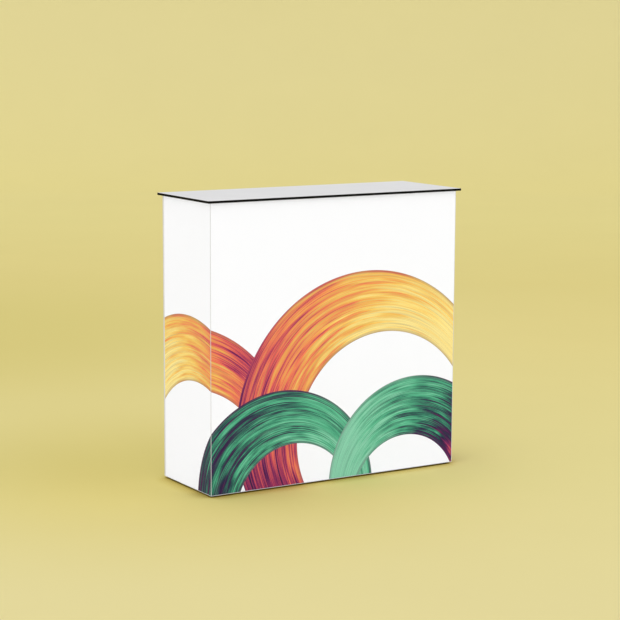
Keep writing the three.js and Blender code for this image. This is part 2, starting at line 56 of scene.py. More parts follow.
level_right = Vector((math.cos(yaw), -math.sin(yaw), 0))
forward = Vector((
    math.sin(yaw) * math.cos(pitch), math.cos(yaw) * math.cos(pitch), -math.sin(pitch)))
level_up = level_right.cross(forward)
camera_right = math.cos(roll) * level_right + math.sin(roll) * level_up
camera_up = math.cos(roll) * level_up - math.sin(roll) * level_right

bpy.ops.object.camera_add()
camera = bpy.context.object
camera.name = "camera"
camera.data.sensor_fit = "HORIZONTAL"
camera.data.sensor_width = sensor_mm
camera.data.lens = focal_pixels / photo_pixels * sensor_mm
camera.data.clip_end = 200
turn = Matrix((camera_right, camera_up, -forward)).transposed().to_4x4()
camera.matrix_world = Matrix.Translation(camera_place) @ turn
bpy.context.scene.camera = camera


# Studio floor. A seamless sweep of pale yellow paper that runs flat under the counter and
# curves up far away on every side, so that no horizon shows.
floor_radius, floor_middle, sweep_radius = 11.0, 4.4, 3.0
floor_sides, sweep_steps = 96, 16


def linear(hex_colour):
    """The linear colour, with alpha, of an sRGB hex value."""
    channels = [int(hex_colour[i:i + 2], 16) / 255 for i in (1, 3, 5)]
    return [c / 12.92 if c <= 0.04045 else ((c + 0.055) / 1.055) ** 2.4 for c in channels] + [1.0]


def add_node(tree, kind, inputs=None, stops=None, **settings):
    """Adds a node with its settings, input values or links, and colour stops."""
    node = tree.nodes.new(kind)
    for name, value in settings.items():
        setattr(node, name, value)
    for socket, value in (inputs or {}).items():
        if isinstance(value, bpy.types.NodeSocket):
            tree.links.new(value, node.inputs[socket])
        else:
            node.inputs[socket].default_value = value
    if stops:
        elements = node.color_ramp.elements
        while len(elements) < len(stops):
            elements.new(0.5)
        for element, (place, colour) in zip(elements, stops):
            element.position = place
            element.color = colour
    return node


def new_material(name):
    """An empty material, with its node tree and the output that a shader is linked to."""
    material = bpy.data.materials.new(name)
    material.use_nodes = True
    material.node_tree.nodes.clear()
    return material, material.node_tree, add_node(material.node_tree, "ShaderNodeOutputMaterial")


def picture_rays(tree):
    """1 for the camera's rays and those that metal and glass send on, 0 for rays of plain light."""
    rays = add_node(tree, "ShaderNodeLightPath")
    found = rays.outputs["Is Camera Ray"]
    for kind in ("Is Glossy Ray", "Is Transmission Ray"):
        found = add_node(tree, "ShaderNodeMath", {
            0: found, 1: rays.outputs[kind]}, operation="MAXIMUM").outputs[0]
    return found


def edit(piece):
    """Makes a piece the only selected one and opens it for editing, with nothing selected."""
    bpy.ops.object.select_all(action="DESELECT")
    piece.select_set(True)
    bpy.context.view_layer.objects.active = piece
    bpy.ops.object.mode_set(mode="EDIT")
    bpy.ops.mesh.select_all(action="DESELECT")


def pick_edges(piece, test):
    """In edit mode, selects only the edges that pass a test."""
    bpy.ops.mesh.select_mode(type="EDGE")
    mesh = bmesh.from_edit_mesh(piece.data)
    for part in (mesh.verts, mesh.edges, mesh.faces):
        for element in part:
            element.select = False
    for edge in mesh.edges:
        edge.select = test(edge)
    mesh.select_flush_mode()
    bmesh.update_edit_mesh(piece.data)


# The paper is matt and faintly mottled, and its yellow deepens and fades with the distance. The
# camera and polished metal see the yellow. The light it sends to the counter is neutral, because
# the photo's white sides have no yellow cast.
paper, tree, output = new_material("studio_paper")
place = add_node(tree, "ShaderNodeTexCoord").outputs["Object"]
nearest, farthest = -2.0, 14.0  # along the camera's view, from the counter's middle
away = add_node(tree, "ShaderNodeVectorMath", {
    0: place, 1: level_right.cross((0, 0, -1))}, operation="DOT_PRODUCT").outputs["Value"]
away = add_node(tree, "ShaderNodeMapRange", {0: away, 1: nearest, 2: farthest}).outputs[0]
tone = add_node(tree, "ShaderNodeValToRGB", {"Fac": away}, stops=[
    (0.03, linear("#E3D79A")), (0.13, linear("#E1D592")), (0.30, linear("#DECF88")),
    (0.43, linear("#DACB82")), (0.66, linear("#DCCF88")), (0.83, linear("#DBCE89")),
    (0.96, linear("#D7CB8F"))])
# Mottled by 1.5 percent, in clouds of about 0.7 m
mottle = add_node(tree, "ShaderNodeTexNoise", {"Vector": place, "Scale": 1.4, "Detail": 3.0})
mottle = add_node(tree, "ShaderNodeMapRange", {0: mottle.outputs["Fac"], 3: 0.985, 4: 1.015})
seen = add_node(tree, "ShaderNodeMix", {
    0: 1.0, 6: tone.outputs["Color"], 7: mottle.outputs[0]},
    data_type="RGBA", blend_type="MULTIPLY").outputs[2]
# Two broad, weak shades are painted on it: one behind the counter, and one to the left, round its
# foot
for middle, full_to, fades_by, shade, blend in (
        ((0.0, 3.5, 0), 0.4, 2.7, "#D5C77B", "MIX"),
        ((-0.54, 0.27, 0), 0.0, 1.5, "#F9F5DA", "MULTIPLY")):
    distance = add_node(tree, "ShaderNodeVectorMath", {
        0: place, 1: middle}, operation="DISTANCE")
    painted_shade_cover = add_node(tree, "ShaderNodeMapRange", {
        0: distance.outputs["Value"], 1: full_to, 2: fades_by, 3: 1.0, 4: 0.0},
        interpolation_type="SMOOTHSTEP")
    seen = add_node(tree, "ShaderNodeMix", {
        0: painted_shade_cover.outputs[0], 6: seen, 7: linear(shade)},
        data_type="RGBA", blend_type=blend).outputs[2]
# A contact shade is painted close round the counter's foot: where the counter hems the paper in,
# its yellow is painted deeper and darker
shade_reach = 0.085
openness = add_node(tree, "ShaderNodeAmbientOcclusion", {"Distance": shade_reach}, samples=8)
painted_contact_shade = add_node(tree, "ShaderNodeValToRGB", {"Fac": openness.outputs["AO"]}, stops=[
    (0.3, linear("#A89348")), (0.6, linear("#ECE4C4")), (0.88, linear("#FFFFFF"))])
seen = add_node(tree, "ShaderNodeMix", {
    0: 1.0, 6: seen, 7: painted_contact_shade.outputs["Color"]},
    data_type="RGBA", blend_type="MULTIPLY").outputs[2]
colour = add_node(tree, "ShaderNodeMix", {
    0: picture_rays(tree), 6: linear("#F6F6F4"), 7: seen}, data_type="RGBA").outputs[2]
surface = add_node(tree, "ShaderNodeBsdfPrincipled", {
    "Base Color": colour, "Roughness": 0.95, "Specular IOR Level": 0.1})
tree.links.new(surface.outputs[0], output.inputs[0])

bpy.ops.mesh.primitive_circle_add(vertices=floor_sides, radius=floor_radius, fill_type="NGON")
floor = bpy.context.object
edit(floor)
bpy.ops.mesh.select_all(action="SELECT")
bpy.ops.mesh.inset(thickness=floor_radius - floor_middle)
sweep = [(math.sin(a) * sweep_radius, (1 - math.cos(a)) * sweep_radius)
         for a in (math.pi / 2 * i / sweep_steps for i in range(sweep_steps + 1))]
for (here_out, here_up), (out, up) in zip(sweep, sweep[1:]):
    pick_edges(floor, lambda e: e.is_boundary)
    bpy.ops.mesh.extrude_edges_move(TRANSFORM_OT_translate={"value": (0, 0, up - here_up)})
    scale = (floor_radius + out) / (floor_radius + here_out)
    bpy.ops.transform.resize(value=(scale, scale, 1), center_override=(0, 0, 0))
bpy.ops.object.mode_set(mode="OBJECT")
bpy.ops.object.shade_smooth()
floor.name = floor.data.name = "studio_floor"
floor.data.materials.append(paper)


# Studio light. An even white dome gives most of it. One broad lamp at the front right and a
# broader one at the left, both low, fill the upright faces, so all shadows are faint and soft.
dome_strength = 0.815

world = bpy.data.worlds.new("studio_dome")
world.use_nodes = True
tree = world.node_tree
tree.nodes.clear()
dome = add_node(tree, "ShaderNodeBackground", {"Color": (1, 1, 1, 1), "Strength": dome_strength})
# Mirror-like parts see the yellow backdrop, and above the paper's upper edge the white dome
sky = add_node(tree, "ShaderNodeTexCoord").outputs["Generated"]
height = add_node(tree, "ShaderNodeSeparateXYZ", {0: sky}).outputs["Z"]
beyond = add_node(tree, "ShaderNodeValToRGB", {"Fac": height}, stops=[
    (0.22, linear("#E0D496")), (0.38, linear("#FFFFFF"))])
behind = add_node(tree, "ShaderNodeBackground", {
    "Color": beyond.outputs["Color"], "Strength": 1.0})
both = add_node(tree, "ShaderNodeMixShader", {
    0: picture_rays(tree), 1: dome.outputs[0], 2: behind.outputs[0]})
tree.links.new(both.outputs[0], add_node(tree, "ShaderNodeOutputWorld").inputs[0])
bpy.context.scene.world = world


def broad_lamp(name, towards, spread_degrees, strength):
    """A far, very broad lamp, whose light comes from a direction."""
    bpy.ops.object.light_add(type="SUN")
    lamp = bpy.context.object
    lamp.name = name
    lamp.data.angle = math.radians(spread_degrees)
    lamp.data.energy = strength
    lamp.rotation_euler = (-Vector(towards)).to_track_quat("-Z", "Y").to_euler()


broad_lamp("right_lamp", towards=(1.0, -1.0, 0.75), spread_degrees=50, strength=0.52)
broad_lamp("left_lamp", towards=(-1.2, -0.55, 0.45), spread_degrees=110, strength=0.91)


# Frame bars. Aluminium extrusions, powder coated light grey and mitred into a box of twelve bars.
# On the three sides with textile only their narrow lips show, and at the rear their plain faces.
def uneven_material(name, tones, grain, cloud=None, stretch=None, gloss=None, relief=None,
                    values=None):
    """A material that is as uneven as its real finish. The grain, a fine noise that may be
    stretched, gives it a range of roughness and a relief of some strength and depth. Clouds of
    some scale, or else the grain, tint it between two tones. Other values are even all over."""
    material, tree, output = new_material(name)
    place = along = add_node(tree, "ShaderNodeTexCoord").outputs["Object"]
    if stretch:
        along = add_node(tree, "ShaderNodeMapping", {"Vector": place, "Scale": stretch}).outputs[0]
    fine = broad = add_node(tree, "ShaderNodeTexNoise", {"Vector": along, **grain}).outputs["Fac"]
    if cloud:
        broad = add_node(tree, "ShaderNodeTexNoise", {
            "Vector": place, "Scale": cloud, "Detail": 3.0}).outputs["Fac"]
    tint = add_node(tree, "ShaderNodeValToRGB", {"Fac": broad}, stops=[
        (0.3, linear(tones[0])), (0.7, linear(tones[1]))]).outputs["Color"]
    inputs = {"Base Color": tint, **(values or {})}
    if gloss:
        inputs["Roughness"] = add_node(tree, "ShaderNodeMapRange", {
            0: fine, 3: gloss[0], 4: gloss[1]}).outputs[0]
    if relief:
        inputs["Normal"] = add_node(tree, "ShaderNodeBump", {
            "Height": fine, "Strength": relief[0], "Distance": relief[1]}).outputs[0]
    surface = add_node(tree, "ShaderNodeBsdfPrincipled", inputs)
    tree.links.new(surface.outputs[0], output.inputs[0])
    return material


def dress(material, *names):
    """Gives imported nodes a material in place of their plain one."""
    for name in names:
        for slot in nodes[name].material_slots:
            slot.material = material


# Soft orange peel of the baked powder, about 1.5 mm, with a satin gloss
coat = uneven_material(
    "light_grey_powder_coat", ("#D3D2CF", "#D9D8D5"), {"Scale": 650.0, "Detail": 2.0},
    cloud=5.0, gloss=(0.36, 0.5), relief=(0.2, 0.0002))
sides, ends, levels = ("left", "right"), ("front", "rear"), ("bottom", "top")
dress(coat, *(f"upright_{end}_{side}" for end in ends for side in sides))
dress(coat, *(f"rail_{end}_{level}" for end in ends for level in levels))
dress(coat, *(f"rail_{side}_{level}" for side in sides for level in levels))


# Corner connectors. Die-cast aluminium, three legs each, pushed into the bars' hollows. They
# hold the mitres together and take the threaded stems of the feet. The casting's skin is like
# fine sand, with a grain of about 0.6 mm.
cast = uneven_material(
    "die_cast_aluminium", ("#8F9193", "#A9ABAD"), {"Scale": 1600.0, "Detail": 2.0},
    cloud=60.0, relief=(0.4, 0.0002), values={"Metallic": 1.0, "Roughness": 0.55})
dress(cast, *(
    f"connector_{end}_{side}_{level}" for end in ends for side in sides for level in levels))


# Silicone edges. Flat strips of milky silicone, sewn round the back of each textile and pushed
# into the slanted groove, where they hold it tight. Light enters them a little, and their
# tint is cloudy every 25 mm.
silicone = uneven_material(
    "milky_silicone", ("#DEDED6", "#EBEBE4"), {"Scale": 40.0, "Detail": 2.0}, gloss=(0.4, 0.55),
    values={"IOR": 1.41, "Subsurface Weight": 0.3, "Subsurface Scale": 0.002})
dress(silicone, *(f"silicone_edge_{side}" for side in ("front", "left", "right")))


# Textile graphics. Warp-knitted polyester, printed right across, stretched over the front and
# the sides. Each edge turns round its silicone strip and dives into the groove behind the lip.
left_edge, front_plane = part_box("upright_front_left")[0].xy
right_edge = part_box("upright_front_right")[1].x
rear_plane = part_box("door_left")[1].y
bottom_edge, top_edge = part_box("rail_front_bottom")[0].z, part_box("rail_front_top")[1].z
lip_width = 0.0012
cloth_thickness = 0.00022
cloth_clearance = 0.0001
fold_radius = 0.00025
fold_turn = math.radians(135)
fold_steps = 6
# The groove's wall slants at 45 degrees from the lip, and the fold touches both it and the face
flat_inset = lip_width + cloth_clearance + fold_radius * (1 + math.sqrt(2))
holding_strip = 0.0008  # keeps the shading of the face flat right up to the fold
tuck = 0.0022

# The print: rings of fine strands, each ring between an outer and an inner circle that don't
# share a centre, so it swells and narrows. Places are metres along the unrolled sides, and up.
# All the strands take their colours from one run, which a strand enters early or late.
strand_colours = (
    "#FFE892", "#FCD76E", "#F3B950", "#F08A55", "#EC6156", "#A8355A", "#5E1D56", "#260B3F",
    "#1F3145", "#2F7A5E", "#4FAF84", "#62BF92", "#8AD0AC")
strand_shade = "#5E1D56"
rings = [
    # outer centre, outer radius, inner centre, inner radius, then the place in the run of colours
    # at the top, its change over half a turn and from the inner to the outer edge, and the strands
    ((-0.66, 0.13), 0.47, (-0.60, 0.07), 0.31, 0.05, 0.72, 0.16, 130),
    ((0.13, 0.20), 0.53, (0.20, 0.15), 0.36, 0.05, -0.52, 0.14, 170),
    ((-0.22, -0.03), 0.37, (-0.17, -0.08), 0.23, 0.84, 0.26, -0.10, 110),
    ((0.33, -0.02), 0.36, (0.29, -0.09), 0.22, 0.73, -0.62, 0.12, 110),
]
# Half the width of a ring's soft edge, and how far in its outermost strands are darkened
print_edge, curl_width = 0.0004, 0.012


def ring_of_strands(tree, place, under, ring, number):
    """Draws one ring of the print over the colour, or the colour's socket, under it."""
    outer_centre, outer_radius, inner_centre, inner_radius, start, sweep, lean, strands = ring
    gap = []
    for centre, radius in ((inner_centre, inner_radius), (outer_centre, outer_radius)):
        offset = add_node(tree, "ShaderNodeVectorMath", {
            0: place, 1: (centre[0], 0, centre[1])}, operation="SUBTRACT")
        distance = add_node(tree, "ShaderNodeVectorMath", {
            0: offset.outputs[0]}, operation="LENGTH")
        gap.append(add_node(tree, "ShaderNodeMath", {
            0: distance.outputs["Value"], 1: radius}, operation="SUBTRACT").outputs[0])
    inside_outer = add_node(tree, "ShaderNodeMath", {
        0: gap[1], 1: -1.0}, operation="MULTIPLY").outputs[0]
    width = add_node(tree, "ShaderNodeMath", {
        0: gap[0], 1: inside_outer}, operation="ADD").outputs[0]
    across = add_node(tree, "ShaderNodeMath", {0: gap[0], 1: width}, operation="DIVIDE").outputs[0]
    nearest = add_node(tree, "ShaderNodeMath", {
        0: gap[0], 1: inside_outer}, operation="MINIMUM").outputs[0]
    mask = add_node(tree, "ShaderNodeMapRange", {
        0: nearest, 1: -print_edge, 2: print_edge}).outputs[0]

    parts = add_node(tree, "ShaderNodeSeparateXYZ", {0: offset.outputs[0]})
    # From the top of the ring, so that the angle jumps only at its bottom
    angle = add_node(tree, "ShaderNodeMath", {
        0: parts.outputs["X"], 1: parts.outputs["Z"]}, operation="ARCTAN2").outputs[0]
    # Fine strands and broader locks of them, both noises that are drawn out along the ring
    noises = []
    for lengthwise, crosswise, detail in ((1.0, strands, 2.0), (2.2, strands * 0.12, 3.0)):
        along = add_node(tree, "ShaderNodeMath", {0: angle, 1: lengthwise}, operation="MULTIPLY")
        beside = add_node(tree, "ShaderNodeMath", {0: across, 1: crosswise}, operation="MULTIPLY")
        spot = add_node(tree, "ShaderNodeCombineXYZ", {
            "X": beside.outputs[0], "Y": along.outputs[0], "Z": 7.3 * number})
        noises.append(add_node(tree, "ShaderNodeTexNoise", {
            "Vector": spot.outputs[0], "Scale": 1.0, "Detail": detail}).outputs["Fac"])
    run = add_node(tree, "ShaderNodeMath", {
        0: angle, 1: sweep / math.pi, 2: start}, operation="MULTIPLY_ADD").outputs[0]
    run = add_node(tree, "ShaderNodeMath", {
        0: across, 1: lean, 2: run}, operation="MULTIPLY_ADD").outputs[0]
    for noise, spread in zip(noises, (0.42, 0.34)):
        early = add_node(tree, "ShaderNodeMapRange", {
            0: noise, 1: 0.2, 2: 0.8, 3: -spread / 2, 4: spread / 2}).outputs[0]
        run = add_node(tree, "ShaderNodeMath", {0: run, 1: early}, operation="ADD").outputs[0]
    last = len(strand_colours) - 1
    colour = add_node(tree, "ShaderNodeValToRGB", {"Fac": run}, stops=[
        (i / last, linear(c)) for i, c in enumerate(strand_colours)]).outputs["Color"]
    # Every strand has a shaded side, and the outermost strands curl away into the dark
    shade = add_node(tree, "ShaderNodeMapRange", {
        0: noises[0], 1: 0.28, 2: 0.5, 3: 0.55, 4: 1.0}).outputs[0]
    rim = add_node(tree, "ShaderNodeMapRange", {
        0: nearest, 1: 0.0, 2: curl_width, 3: 0.5, 4: 1.0}).outputs[0]
    depth = add_node(tree, "ShaderNodeMath", {0: shade, 1: rim}, operation="MULTIPLY").outputs[0]
    inked = add_node(tree, "ShaderNodeMix", {
        0: depth, 6: linear(strand_shade), 7: colour}, data_type="RGBA").outputs[2]
    return add_node(tree, "ShaderNodeMix", {
        0: mask, 6: under, 7: inked}, data_type="RGBA").outputs[2]


def printed_textile(side, face, flatten, turn_degrees, shift):
    """Printed polyester knit: matt and soft, a fine even knit, its print only pale on the back."""
    material, tree, output = new_material(f"printed_polyester_knit_{side}_{face}")
    place = add_node(tree, "ShaderNodeTexCoord").outputs["Object"]
    unrolled = add_node(tree, "ShaderNodeMapping", {
        "Vector": place, "Scale": flatten, "Rotation": (0, 0, math.radians(turn_degrees)),
        "Location": (shift, 0, 0)}).outputs[0]
    colour = linear("#FBFBFC")
    for number, ring in enumerate(rings):
        colour = ring_of_strands(tree, unrolled, colour, ring, number)
    if face == "back":
        show_through = 0.28
        colour = add_node(tree, "ShaderNodeMix", {
            0: 1 - show_through, 6: colour, 7: linear("#F4F4F3")}, data_type="RGBA").outputs[2]
    # Knit wales 2 mm apart, some four times the real spacing, so that they show close up, and
    # yarn that is uneven every 0.7 mm
    wales = add_node(tree, "ShaderNodeTexWave", {
        "Vector": unrolled, "Scale": 1000 / (2 * math.pi), "Distortion": 0.6, "Detail": 1.0})
    yarn = add_node(tree, "ShaderNodeTexNoise", {
        "Vector": unrolled, "Scale": 1500.0, "Detail": 2.0}).outputs["Fac"]
    knit = add_node(tree, "ShaderNodeMath", {0: wales.outputs["Fac"], 1: yarn}, operation="ADD")
    bump = add_node(tree, "ShaderNodeBump", {
        "Height": knit.outputs[0], "Strength": 0.35, "Distance": 0.0002})
    matt = add_node(tree, "ShaderNodeMapRange", {0: yarn, 3: 0.78, 4: 0.92})
    surface = add_node(tree, "ShaderNodeBsdfPrincipled", {
        "Base Color": colour, "Roughness": matt.outputs[0], "Specular IOR Level": 0.25,
        "Sheen Weight": 0.08, "Sheen Roughness": 0.4, "Normal": bump.outputs[0]})
    tree.links.new(surface.outputs[0], output.inputs[0])
    return material


def finish_piece(piece, name, material, body):
    """Names a finished mesh, puts its place into it, and gives it its material and body."""
    piece.name = piece.data.name = name
    piece.data.transform(piece.matrix_basis)
    piece.matrix_basis = Matrix.Identity(4)
    piece.data.materials.clear()
    piece.data.materials.append(material)
    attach(piece, body)


def stretched_textile(side, width, place, turn_degrees, print_turn, print_shift):
    """One textile: its flat face, the fold along all four edges, and the tuck into the groove."""
    height = top_edge - bottom_edge

    def half_sizes(inset):
        return width / 2 - inset, height / 2 - inset

    bpy.ops.object.select_all(action="DESELECT")
    bpy.ops.mesh.primitive_plane_add(size=2, rotation=(math.pi / 2, 0, 0))
    cloth = bpy.context.object
    at = half_sizes(flat_inset + holding_strip)
    cloth.scale = (at[0], at[1], 1)
    bpy.ops.object.transform_apply(location=False, rotation=True, scale=True)
    edit(cloth)
    steps = [(flat_inset, 0.0)]
    for i in range(1, fold_steps + 1):
        angle = fold_turn * i / fold_steps
        steps.append((
            flat_inset - fold_radius * math.sin(angle), fold_radius * (1 - math.cos(angle))))
    steps.append((steps[-1][0] + tuck / math.sqrt(2), steps[-1][1] + tuck / math.sqrt(2)))
    depth = 0.0
    for inset, next_depth in steps:
        pick_edges(cloth, lambda e: e.is_boundary)
        bpy.ops.mesh.extrude_edges_move(
            TRANSFORM_OT_translate={"value": (0, next_depth - depth, 0)})
        to = half_sizes(inset)
        bpy.ops.transform.resize(
            value=(to[0] / at[0], 1, to[1] / at[1]), center_override=(0, 0, 0))
        at, depth = to, next_depth
    bpy.ops.object.mode_set(mode="OBJECT")
    thicken = cloth.modifiers.new("cloth_thickness", "SOLIDIFY")
    thicken.thickness = cloth_thickness
    thicken.offset = -1
    thicken.use_even_offset = True
    bpy.ops.object.modifier_apply(modifier=thicken.name)
    bpy.ops.object.shade_smooth_by_angle(angle=math.radians(40))
    cloth.rotation_euler = (0, 0, math.radians(turn_degrees))
    cloth.location = place
    outward = cloth.matrix_basis.to_3x3() @ Vector((0, -1, 0))
    flatten = (1 - abs(outward.x), 1 - abs(outward.y), 1)
    front_face, back_face = (
        printed_textile(side, face, flatten, print_turn, print_shift) for face in ("front", "back"))
    finish_piece(cloth, f"textile_{side}", front_face, "counter_body")
    cloth.data.materials.append(back_face)
    for polygon in cloth.data.polygons:
        if polygon.normal.dot(outward) < -0.9:
            polygon.material_index = 1
    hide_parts(f"graphic_{side}")


middle_y, middle_z = (front_plane + rear_plane) / 2, (bottom_edge + top_edge) / 2
corner_shift = left_edge + front_plane  # the sides' print carries on from the front's corners
stretched_textile(
    "front", right_edge - left_edge, (0, front_plane, middle_z), turn_degrees=0,
    print_turn=0, print_shift=0)
stretched_textile(
    "left", rear_plane - front_plane, (left_edge, middle_y, middle_z), turn_degrees=-90,
    print_turn=90, print_shift=corner_shift)
stretched_textile(
    "right", rear_plane - front_plane, (right_edge, middle_y, middle_z), turn_degrees=90,
    print_turn=-90, print_shift=-corner_shift)


# Worktop. Compact laminate 8 mm thick: resin-soaked black paper all through, with a light grey
# decor paper pressed on both faces. The cut edge is sanded and left black.
laminate, tree, output = new_material("compact_laminate")
coordinates = add_node(tree, "ShaderNodeTexCoord")
place = coordinates.outputs["Object"]
facing = add_node(tree, "ShaderNodeSeparateXYZ", {0: coordinates.outputs["Normal"]}).outputs["Z"]
upright = add_node(tree, "ShaderNodeMath", {0: facing}, operation="ABSOLUTE").outputs[0]
is_face = add_node(tree, "ShaderNodeMath", {
    0: upright, 1: 0.9}, operation="GREATER_THAN").outputs[0]
# Cloudy tint of the decor paper, about 0.3 m, and pearl grain of the pressing plate, about 1.5 mm
mist = add_node(tree, "ShaderNodeTexNoise", {
    "Vector": place, "Scale": 3.0, "Detail": 4.0}).outputs["Fac"]
pearl = add_node(tree, "ShaderNodeTexNoise", {
    "Vector": place, "Scale": 700.0, "Detail": 2.0}).outputs["Fac"]
decor = add_node(tree, "ShaderNodeValToRGB", {"Fac": mist}, stops=[
    (0.3, linear("#DADADC")), (0.7, linear("#DFDFE1"))]).outputs["Color"]
core = add_node(tree, "ShaderNodeValToRGB", {"Fac": pearl}, stops=[
    (0.3, linear("#030303")), (0.7, linear("#070708"))]).outputs["Color"]
colour = add_node(tree, "ShaderNodeMix", {
    0: is_face, 6: core, 7: decor}, data_type="RGBA").outputs[2]
gloss = add_node(tree, "ShaderNodeMapRange", {0: pearl, 3: 0.56, 4: 0.7}).outputs[0]
bump = add_node(tree, "ShaderNodeBump", {"Height": pearl, "Strength": 0.12, "Distance": 0.0002})
surface = add_node(tree, "ShaderNodeBsdfPrincipled", {
    "Base Color": colour, "Roughness": gloss, "Specular IOR Level": 0.08,
    "Normal": bump.outputs[0]})
tree.links.new(surface.outputs[0], output.inputs[0])
dress(laminate, "worktop")


# Base panel, shelf and doors. Chipboard faced with white melamine, 12 and 16 mm thick, with a
# thin white band glued round the edges. The pressed melamine has a slight orange peel of
# about 2 mm.
melamine = uneven_material(
    "white_melamine_board", ("#EDEDEB", "#F2F2F0"), {"Scale": 480.0, "Detail": 2.0},
    cloud=4.0, gloss=(0.36, 0.5), relief=(0.15, 0.0002))
dress(melamine, "base_panel", "shelf", "door_left", "door_right")


# Steel fittings. Hinges, brackets, lock and bolt are steel, pressed or turned and then nickel
# plated, which leaves a warm, fairly bright metal with the faint marks of polishing, about
# 1 mm wide and 17 mm long.
nickel = uneven_material(
    "nickel_plated_steel", ("#CECCC8", "#D9D7D4"), {"Scale": 1.0, "Detail": 3.0},
    stretch=(900, 900, 60), gloss=(0.2, 0.34), relief=(0.08, 0.0001), values={"Metallic": 1.0})
dress(nickel, *(f"worktop_bracket_{end}_{side}" for end in ends for side in sides))
hinge_levels = ("lower", "upper")
dress(nickel, *(
    f"hinge_{side}_{level}_{part}" for side in sides for level in hinge_levels
    for part in ("frame_leaf", "door_leaf", "pin")))
dress(nickel, "lock_barrel", "lock_cam", "bolt_guide", "bolt")


# Aluminium trim. The shelf's bearers, the stop bar and the knob are plain aluminium, drawn or
# turned and then anodised satin silver. Drawing lines about 1 mm apart and 0.3 m long run
# along each piece.
aluminium = {
    run: uneven_material(
        f"anodised_aluminium_along_{run}", ("#D5D6D8", "#DFE0E1"),
        {"Scale": 1.0, "Detail": 4.0, "Roughness": 0.6}, cloud=9.0, stretch=stretch,
        gloss=(0.30, 0.44), relief=(0.15, 0.0001), values={"Metallic": 1.0})
    for run, stretch in (("x", (3, 900, 900)), ("y", (900, 3, 900)))}
dress(aluminium["y"], "shelf_bearer_left", "shelf_bearer_right")
dress(aluminium["x"], "door_stop_bar")


# Door knob. Turned from aluminium bar and anodised, with a waisted neck and a dished face. One
# screw through the door holds it.
def turned_piece(profile, edge_radius, segments=64):
    """A piece turned round the Z axis, from (radius, height) points in order, with soft edges."""
    (first_radius, first_height), *others = profile
    bpy.ops.object.select_all(action="DESELECT")
    bpy.ops.mesh.primitive_circle_add(
        vertices=segments, radius=first_radius, fill_type="NOTHING", location=(0, 0, first_height))
    piece = bpy.context.object
    bpy.ops.object.transform_apply(location=True, rotation=False, scale=False)
    edit(piece)
    bpy.ops.mesh.select_all(action="SELECT")
    here_radius, here_height = first_radius, first_height
    for radius, height in others:
        bpy.ops.mesh.extrude_edges_move(
            TRANSFORM_OT_translate={"value": (0, 0, height - here_height)})
        scale = radius / here_radius
        bpy.ops.transform.resize(value=(scale, scale, 1), center_override=(0, 0, 0))
        here_radius, here_height = radius, height
    bpy.ops.mesh.select_all(action="SELECT")
    bpy.ops.mesh.remove_doubles(threshold=0.000001)
    pick_edges(piece, lambda e: e.is_boundary)
    if any(e.select for e in bmesh.from_edit_mesh(piece.data).edges):
        bpy.ops.mesh.edge_face_add()
    bpy.ops.mesh.select_all(action="SELECT")
    bpy.ops.mesh.normals_make_consistent(inside=False)
    bpy.ops.object.mode_set(mode="OBJECT")
    soften(piece, edge_radius)
    return piece


def soften(piece, edge_radius, steps=3):
    """Rounds a piece's sharp edges and smooths its shading."""
    rounding = piece.modifiers.new("soft_edges", "BEVEL")
    rounding.width = edge_radius
    rounding.segments = steps
    rounding.limit_method = "ANGLE"
    rounding.angle_limit = math.radians(30)
    bpy.ops.object.modifier_apply(modifier=rounding.name)
    bpy.ops.object.shade_smooth_by_angle(angle=math.radians(30))


def middle_of(node):
    """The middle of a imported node."""
    low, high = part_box(node)
    return (low + high) / 2


def set_on_door(piece, node):
    """Turns a turned piece to face the rear and sets its foot on the door where a node stands."""
    piece.rotation_euler = (-math.pi / 2, 0, 0)
    piece.location = (middle_of(node).x, rear_plane, middle_of(node).z)


knob_low, knob_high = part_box("door_knob")
knob_radius = (knob_high.x - knob_low.x) / 2
knob_length = knob_high.y - rear_plane
dish_depth, dish_radius, dish_middle = 0.0005, 0.72, 0.2
# Shares of its radius and length, from the foot on the door over the neck to the face's rim
knob_profile = (
    (0.72, 0), (0.72, 0.10), (0.56, 0.20), (0.56, 0.50), (0.9, 0.64), (1, 0.72), (1, 0.93),
    (0.92, 1), (0.80, 1))
knob = turned_piece(
    [(knob_radius * radius, knob_length * height) for radius, height in knob_profile]
    + [(knob_radius * radius, knob_length - dish_depth) for radius in (dish_radius, dish_middle)],
    edge_radius=0.0003)
set_on_door(knob, "door_knob")
finish_piece(knob, "turned_knob", aluminium["y"], "right_door")
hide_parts("door_knob")


# Lock barrel. Nickel-plated, with a bevelled flange on the door's face, a tube through the door
# and a six-sided nut behind it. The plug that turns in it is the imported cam's.
lock_low, lock_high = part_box("lock_barrel")
nut_radius = (lock_high.z - lock_low.z) / 2
plug_radius, tube_radius = 0.00512, 0.0080
flange_radius, nut_depth = 0.0110, 0.0020
lock_rise = lock_high.y - rear_plane
nut_back = lock_low.y - rear_plane
# Shares of the flange's rise and radius, and of the plug's radius for the raised ring round it
flange_rim, flange_top, flange_bevel = 0.45, 0.86, 0.84
ring_foot, ring_top = 1.32, 1.22
barrel_edge_radius = 0.0002
barrel = turned_piece([
    (plug_radius, nut_back), (tube_radius, nut_back), (tube_radius, 0), (flange_radius, 0),
    (flange_radius, lock_rise * flange_rim), (flange_radius * flange_bevel, lock_rise * flange_top),
    (plug_radius * ring_foot, lock_rise * flange_top), (plug_radius * ring_top, lock_rise),
    (plug_radius, lock_rise), (plug_radius, nut_back)], barrel_edge_radius)
bpy.ops.object.select_all(action="DESELECT")
nut_middle = (0, 0, nut_back + nut_depth / 2)
bpy.ops.mesh.primitive_cylinder_add(
    vertices=6, radius=nut_radius, depth=nut_depth, location=nut_middle)
nut = bpy.context.object
bpy.ops.mesh.primitive_cylinder_add(
    vertices=64, radius=tube_radius, depth=3 * nut_depth, location=nut_middle)
drill = bpy.context.object
